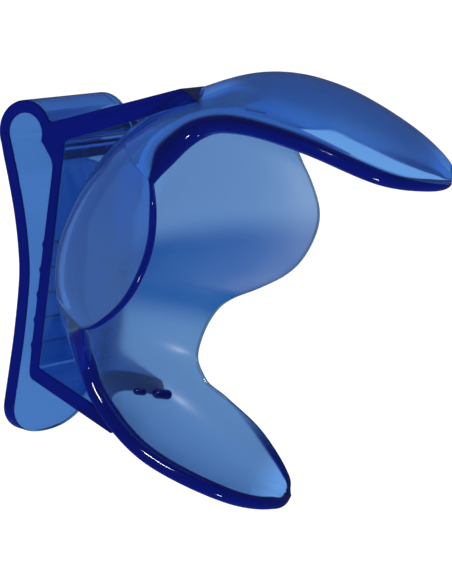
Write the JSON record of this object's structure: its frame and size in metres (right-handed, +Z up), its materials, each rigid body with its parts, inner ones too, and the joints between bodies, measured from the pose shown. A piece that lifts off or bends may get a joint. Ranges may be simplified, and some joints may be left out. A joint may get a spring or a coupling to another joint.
{
  "type": "cheek retractor",
  "caption": "Clear blue cheek retractor: a bowl with a thin lip and arched wings hooks the corner of the mouth, on a flat bracket with a spring strap clip.",
  "frame": {"origin": "front edge of the back plate on its gripping face, where the strap lies", "axes": "+X from the strap clip towards the shell and the teeth, +Y into the mouth along the bracket's width, +Z up"},
  "size_m": [0.0736, 0.0522, 0.0709],
  "materials": {
    "shell_blue": "translucent, softly frosted in the bowl, polished at the rims",
    "bracket_blue": "clear, polished"
  },
  "bodies": {
    "root": {"back_plate": "bracket_blue", "cheek_cup": "shell_blue", "clip_bend": "bracket_blue", "corner_lip": "shell_blue", "lower_arm": "bracket_blue", "lower_lip_wing": "shell_blue", "lower_lock_tab": "shell_blue", "upper_arm": "bracket_blue", "upper_lip_wing": "shell_blue", "upper_lock_tab": "shell_blue"},
    "clip_arm": {"clip_leg": "bracket_blue"}
  },
  "joints": [
    {"name": "clip_flex", "type": "hinge", "parent": "root", "child": "clip_arm", "pos_m": [-0.006, 0.011, 0.0214], "axis": [0, 1, 0], "range_deg": [0, 8], "stiffness_Nm_per_rad": 1}
  ]
}
